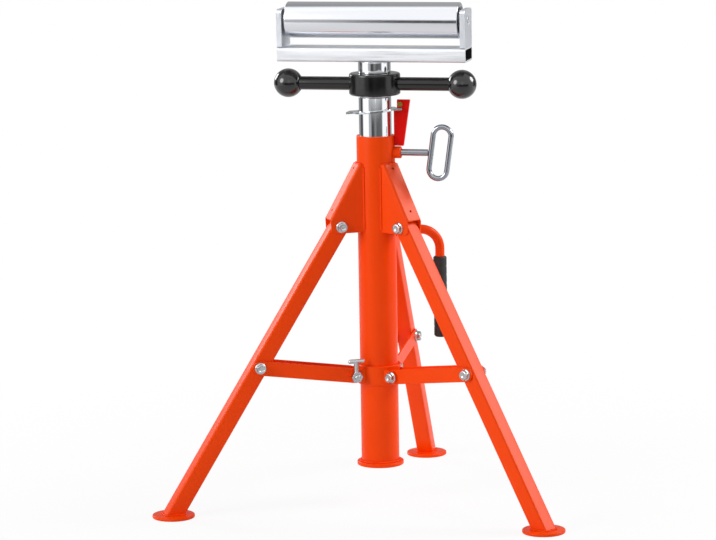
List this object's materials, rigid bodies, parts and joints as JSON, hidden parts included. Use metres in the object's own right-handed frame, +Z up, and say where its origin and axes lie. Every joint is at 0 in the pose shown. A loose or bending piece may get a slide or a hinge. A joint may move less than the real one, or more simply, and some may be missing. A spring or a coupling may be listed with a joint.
{
  "type": "roller stand",
  "caption": "Folding three-legged stand with a sliding chrome mast, hand-turned jack nut and a wide pipe roller on a swivelling head.",
  "frame": {"origin": "on the floor, at the middle of the box round the three feet; the column axis stands at y = -0.0805 m", "axes": "+Z up along the column; the roller, its axle and the turning bars lie along X; the back leg points to +Y"},
  "size_m": [0.6206, 0.546, 0.7527],
  "materials": {
    "orange_paint": "glossy orange powder coat",
    "red_paint": "glossy red paint",
    "chrome": "bright chrome plate on ground steel",
    "zinc_steel": "bright zinc plate",
    "black_steel": "black satin coat",
    "black_plastic": "black moulded plastic",
    "brass": "plain brass"
  },
  "bodies": {
    "stand": {"column_tube": "orange_paint", "base_flange": "orange_paint", "clamp_boss": "orange_paint", "lock_bracket": "red_paint", "lock_pin": "brass", "carry_handle": "orange_paint", "carry_grip": "black_plastic", "left_bracket": "orange_paint", "left_leg_pivot_bolt": "zinc_steel", "left_leg_pivot_nut": "zinc_steel", "right_bracket": "orange_paint", "right_leg_pivot_bolt": "zinc_steel", "right_leg_pivot_nut": "zinc_steel", "back_bracket": "orange_paint", "back_leg_pivot_bolt": "zinc_steel", "back_leg_pivot_nut": "zinc_steel"},
    "left_leg": {"left_leg": "orange_paint", "left_foot": "orange_paint"},
    "right_leg": {"right_leg": "orange_paint", "right_foot": "orange_paint"},
    "back_leg": {"back_leg": "orange_paint", "back_foot": "orange_paint"},
    "collar": {"collar": "orange_paint", "left_collar_bolt": "zinc_steel", "right_collar_bolt": "zinc_steel", "right_collar_nut": "zinc_steel", "back_collar_bolt": "zinc_steel", "back_collar_nut": "zinc_steel"},
    "left_brace": {"left_brace": "orange_paint", "left_brace_bolt_near": "zinc_steel", "left_brace_bolt_far": "zinc_steel"},
    "right_brace": {"right_brace": "orange_paint", "right_brace_bolt_near": "zinc_steel", "right_brace_bolt_far": "zinc_steel"},
    "back_brace": {"back_brace": "orange_paint", "back_brace_bolt_near": "zinc_steel", "back_brace_bolt_far": "zinc_steel"},
    "fold_clamp": {"fold_clamp_nut": "zinc_steel"},
    "mast": {"mast_tube": "chrome", "thrust_washer": "zinc_steel"},
    "jack_nut": {"jack_nut": "black_steel", "left_turning_bar": "black_steel", "right_turning_bar": "black_steel", "left_ball_knob": "black_plastic", "right_ball_knob": "black_plastic"},
    "jack_screw": {"jack_screw": "chrome"},
    "roller_head": {"head_socket": "chrome", "head_base_tube": "chrome", "left_end_plate": "chrome", "right_end_plate": "chrome", "roller_axle": "zinc_steel", "left_spacer": "zinc_steel", "right_spacer": "zinc_steel"},
    "roller": {"roller": "chrome", "left_bearing": "zinc_steel", "right_bearing": "zinc_steel"},
    "clamp_screw": {"clamp_screw": "zinc_steel"},
    "clamp_handle": {"clamp_handle": "zinc_steel"},
    "lock_plate": {"lock_plate": "zinc_steel"}
  },
  "joints": [
    {"name": "left_leg_fold", "type": "hinge", "parent": "stand", "child": "left_leg", "pos_m": [-0.0511, -0.11, 0.422], "axis": [0.5, -0.866, 0], "range_deg": [0, 32.24]},
    {"name": "right_leg_fold", "type": "hinge", "parent": "stand", "child": "right_leg", "pos_m": [0.0511, -0.11, 0.422], "axis": [0.5, 0.866, 0], "range_deg": [0, 32.24]},
    {"name": "back_leg_fold", "type": "hinge", "parent": "stand", "child": "back_leg", "pos_m": [0, -0.0215, 0.422], "axis": [-1, 0, 0], "range_deg": [0, 32.24]},
    {"name": "collar_slide", "type": "slide", "parent": "stand", "child": "collar", "axis": [0, 0, 1], "range_m": [0, 0.1311]},
    {"name": "left_brace_swing", "type": "hinge", "parent": "collar", "child": "left_brace", "pos_m": [-0.03637, -0.1015, 0.196], "axis": [0.5, -0.866, 0], "range_deg": [0, 92]},
    {"name": "right_brace_swing", "type": "hinge", "parent": "collar", "child": "right_brace", "pos_m": [0.03637, -0.1015, 0.196], "axis": [0.5, 0.866, 0], "range_deg": [0, 92]},
    {"name": "back_brace_swing", "type": "hinge", "parent": "collar", "child": "back_brace", "pos_m": [0, -0.0385, 0.196], "axis": [-1, 0, 0], "range_deg": [0, 92]},
    {"name": "fold_clamp_turn", "type": "hinge", "parent": "collar", "child": "fold_clamp", "pos_m": [-0.03637, -0.1015, 0.196], "axis": [0.5, -0.866, 0], "range_deg": [0, 60]},
    {"name": "mast_slide", "type": "slide", "parent": "stand", "child": "mast", "axis": [0, 0, 1], "range_m": [0, 0.36]},
    {"name": "nut_turn", "type": "hinge", "parent": "mast", "child": "jack_nut", "pos_m": [0, -0.0805, 0.63155], "axis": [0, 0, -1], "range_deg": [0, 5400]},
    {"name": "screw_rise", "type": "slide", "parent": "mast", "child": "jack_screw", "axis": [0, 0, 1], "range_m": [0, 0.0901]},
    {"name": "head_swivel", "type": "hinge", "parent": "jack_screw", "child": "roller_head", "pos_m": [0, -0.0805, 0.6656], "axis": [0, 0, 1], "continuous": true},
    {"name": "roller_spin", "type": "hinge", "parent": "roller_head", "child": "roller", "pos_m": [0, -0.0805, 0.7259], "axis": [1, 0, 0], "continuous": true},
    {"name": "clamp_feed", "type": "slide", "parent": "stand", "child": "clamp_screw", "axis": [1, 0, 0], "range_m": [0, 0.0036]},
    {"name": "clamp_turn", "type": "hinge", "parent": "clamp_screw", "child": "clamp_handle", "pos_m": [0.08, -0.0805, 0.5295], "axis": [1, 0, 0], "range_deg": [0, 720]},
    {"name": "lock_plate_lift", "type": "hinge", "parent": "stand", "child": "lock_plate", "pos_m": [0.0313, -0.0805, 0.5926], "axis": [0, 1, 0], "range_deg": [0, 4.8]}
  ],
  "couplings": [
    {"joint": "right_leg_fold", "follows": "left_leg_fold", "ratio": 1},
    {"joint": "back_leg_fold", "follows": "left_leg_fold", "ratio": 1},
    {"joint": "collar_slide", "follows": "left_leg_fold", "m_per_rad": 0.23263},
    {"joint": "left_brace_swing", "follows": "left_leg_fold", "ratio": 2.8481},
    {"joint": "right_brace_swing", "follows": "left_leg_fold", "ratio": 2.8481},
    {"joint": "back_brace_swing", "follows": "left_leg_fold", "ratio": 2.8481},
    {"joint": "screw_rise", "follows": "nut_turn", "m_per_rad": 0.00095493},
    {"joint": "clamp_feed", "follows": "clamp_turn", "m_per_rad": 0.00027852}
  ]
}
